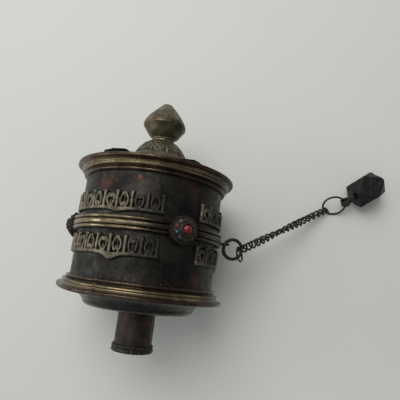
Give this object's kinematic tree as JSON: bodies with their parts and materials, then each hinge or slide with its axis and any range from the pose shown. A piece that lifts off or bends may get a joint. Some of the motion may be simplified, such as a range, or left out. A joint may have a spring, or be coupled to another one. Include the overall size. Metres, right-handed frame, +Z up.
{
  "type": "hand prayer wheel",
  "caption": "Hand-held prayer wheel head: copper drum with flared rims, pierced ornament strips, stone-set band, onion finial, handle socket, and a chained faceted iron weight.",
  "frame": {"origin": "centre of the mouth of the handle socket, on the spindle's axis", "axes": "+Y along the spindle from the socket to the finial, +Z up from the table that the wheel lies on, +X towards the chain"},
  "size_m": [0.1432, 0.1035, 0.0646],
  "materials": {
    "patinated_copper": "dark worn patina over copper",
    "rim_bronze": "rubbed bronze, dull polish",
    "frieze_brass": "oxidised brass, dark in the recesses",
    "finial_brass": "oxidised brass, rubbed on the high spots",
    "bezel_brass": "oxidised brass",
    "red_coral": "polished red coral",
    "turquoise": "polished turquoise",
    "scroll_paper": "rolled block-printed paper, plain edges",
    "wrap_cloth": "plain cotton wrapper",
    "bearing_bronze": "turned bronze",
    "dark_sheet": "blackened sheet iron",
    "spindle_steel": "drawn iron rod",
    "black_iron": "blackened iron wire and iron weight"
  },
  "bodies": {
    "spindle": {"handle_ferrule": "patinated_copper", "ferrule_collar": "dark_sheet", "socket_plug": "spindle_steel", "spindle_rod": "spindle_steel", "lower_washer": "dark_sheet", "upper_washer": "finial_brass", "finial": "finial_brass"},
    "drum": {"drum_wall": "patinated_copper", "lower_rim": "rim_bronze", "upper_rim": "rim_bronze", "lid": "dark_sheet", "lotus_dome": "finial_brass", "base_pan": "dark_sheet", "centre_band": "rim_bronze", "lid_leaves": "frieze_brass", "inner_floor": "dark_sheet", "bottom_bush": "bearing_bronze", "top_bush": "bearing_bronze", "core_tube": "scroll_paper", "prayer_scroll": "scroll_paper", "scroll_wrap": "wrap_cloth", "frieze_upper_1": "frieze_brass", "frieze_upper_2": "frieze_brass", "frieze_upper_3": "frieze_brass", "frieze_lower_1": "frieze_brass", "frieze_lower_2": "frieze_brass", "frieze_lower_3": "frieze_brass", "bezel_1": "bezel_brass", "bezel_2": "bezel_brass", "bezel_3": "bezel_brass", "coral_1": "red_coral", "coral_2": "red_coral", "coral_3": "red_coral", "side_stones": "turquoise", "chain_staple": "black_iron"},
    "eye_ring": {"eye_ring": "black_iron"},
    "jump_ring": {"jump_ring": "black_iron"},
    "link_01": {"link_01": "black_iron"},
    "link_02": {"link_02": "black_iron"},
    "link_03": {"link_03": "black_iron"},
    "link_04": {"link_04": "black_iron"},
    "link_05": {"link_05": "black_iron"},
    "link_06": {"link_06": "black_iron"},
    "link_07": {"link_07": "black_iron"},
    "link_08": {"link_08": "black_iron"},
    "link_09": {"link_09": "black_iron"},
    "link_10": {"link_10": "black_iron"},
    "link_11": {"link_11": "black_iron"},
    "link_12": {"link_12": "black_iron"},
    "link_13": {"link_13": "black_iron"},
    "link_14": {"link_14": "black_iron"},
    "link_15": {"link_15": "black_iron"},
    "link_16": {"link_16": "black_iron"},
    "link_17": {"link_17": "black_iron"},
    "link_18": {"link_18": "black_iron"},
    "end_ring": {"end_ring": "black_iron"},
    "weight": {"weight": "black_iron", "weight_eye": "black_iron"}
  },
  "joints": [
    {"name": "drum_spin", "type": "hinge", "parent": "spindle", "child": "drum", "pos_m": [0, 0.05, 0], "axis": [0, 1, 0], "continuous": true},
    {"name": "eye_ring_swing", "type": "hinge", "parent": "drum", "child": "eye_ring", "pos_m": [0.03162, 0.04547, -0.0014], "axis": [0.4226, 0.9063, 0], "range_deg": [-40, 40]},
    {"name": "jump_ring_swing", "type": "hinge", "parent": "eye_ring", "child": "jump_ring", "pos_m": [0.0381, 0.04145, -0.00377], "axis": [0.6063, 0.7924, -0.0673], "range_deg": [-20, 20]},
    {"name": "link_01_swing", "type": "hinge", "parent": "jump_ring", "child": "link_01", "pos_m": [0.03901, 0.04434, -0.00655], "axis": [0.504, -0.8573, -0.1047], "range_deg": [-25, 25]},
    {"name": "link_02_swing", "type": "hinge", "parent": "link_01", "child": "link_02", "pos_m": [0.0414, 0.04587, -0.00792], "axis": [0.4228, 0.1392, 0.8955], "range_deg": [-25, 25]},
    {"name": "link_03_swing", "type": "hinge", "parent": "link_02", "child": "link_03", "pos_m": [0.0438, 0.04739, -0.00928], "axis": [0.5245, -0.8509, -0.0298], "range_deg": [-25, 25]},
    {"name": "link_04_swing", "type": "hinge", "parent": "link_03", "child": "link_04", "pos_m": [0.04619, 0.04892, -0.01065], "axis": [-0.3424, -0.2697, -0.9], "range_deg": [-25, 25]},
    {"name": "link_05_swing", "type": "hinge", "parent": "link_04", "child": "link_05", "pos_m": [0.04859, 0.05044, -0.01202], "axis": [-0.577, 0.8095, -0.1083], "range_deg": [-25, 25]},
    {"name": "link_06_swing", "type": "hinge", "parent": "link_05", "child": "link_06", "pos_m": [0.05098, 0.05196, -0.01339], "axis": [0.2539, 0.3938, 0.8834], "range_deg": [-25, 25]},
    {"name": "link_07_swing", "type": "hinge", "parent": "link_06", "child": "link_07", "pos_m": [0.05338, 0.05349, -0.01476], "axis": [0.6159, -0.7491, 0.2438], "range_deg": [-25, 25]},
    {"name": "link_08_swing", "type": "hinge", "parent": "link_07", "child": "link_08", "pos_m": [0.05577, 0.05501, -0.01612], "axis": [-0.1594, -0.5087, -0.846], "range_deg": [-25, 25]},
    {"name": "link_09_swing", "type": "hinge", "parent": "link_08", "child": "link_09", "pos_m": [0.05817, 0.05654, -0.01749], "axis": [-0.6404, 0.6711, -0.3735], "range_deg": [-25, 25]},
    {"name": "link_10_swing", "type": "hinge", "parent": "link_09", "child": "link_10", "pos_m": [0.06057, 0.05806, -0.01886], "axis": [0.0612, 0.6117, 0.7888], "range_deg": [-25, 25]},
    {"name": "link_11_swing", "type": "hinge", "parent": "link_10", "child": "link_11", "pos_m": [0.06296, 0.05958, -0.02023], "axis": [0.6498, -0.5773, 0.4945], "range_deg": [-25, 25]},
    {"name": "link_12_swing", "type": "hinge", "parent": "link_11", "child": "link_12", "pos_m": [0.06536, 0.06111, -0.02159], "axis": [0.0385, -0.7002, -0.7129], "range_deg": [-25, 25]},
    {"name": "link_13_swing", "type": "hinge", "parent": "link_12", "child": "link_13", "pos_m": [0.06775, 0.06263, -0.02296], "axis": [-0.6439, 0.4699, -0.6038], "range_deg": [-25, 25]},
    {"name": "link_14_swing", "type": "hinge", "parent": "link_13", "child": "link_14", "pos_m": [0.07015, 0.06416, -0.02433], "axis": [-0.1372, 0.7723, 0.6203], "range_deg": [-25, 25]},
    {"name": "link_15_swing", "type": "hinge", "parent": "link_14", "child": "link_15", "pos_m": [0.07254, 0.06568, -0.0257], "axis": [0.6228, -0.3515, 0.699], "range_deg": [-25, 25]},
    {"name": "link_16_swing", "type": "hinge", "parent": "link_15", "child": "link_16", "pos_m": [0.07494, 0.06721, -0.02707], "axis": [0.2327, -0.8262, -0.5131], "range_deg": [-25, 25]},
    {"name": "link_17_swing", "type": "hinge", "parent": "link_16", "child": "link_17", "pos_m": [0.07733, 0.06873, -0.02843], "axis": [-0.5871, 0.2248, -0.7777], "range_deg": [-25, 25]},
    {"name": "link_18_swing", "type": "hinge", "parent": "link_17", "child": "link_18", "pos_m": [0.07973, 0.07026, -0.0298], "axis": [-0.3228, 0.8606, 0.3938], "range_deg": [-25, 25]},
    {"name": "end_ring_swing", "type": "hinge", "parent": "link_18", "child": "end_ring", "pos_m": [0.08213, 0.07178, -0.03117], "axis": [0.5376, -0.0928, 0.8381], "range_deg": [-30, 12]},
    {"name": "weight_swing", "type": "hinge", "parent": "end_ring", "child": "weight", "pos_m": [0.0894, 0.07546, -0.02586], "axis": [-0.494, 0.574, 0.653], "range_deg": [-60, 60]}
  ]
}
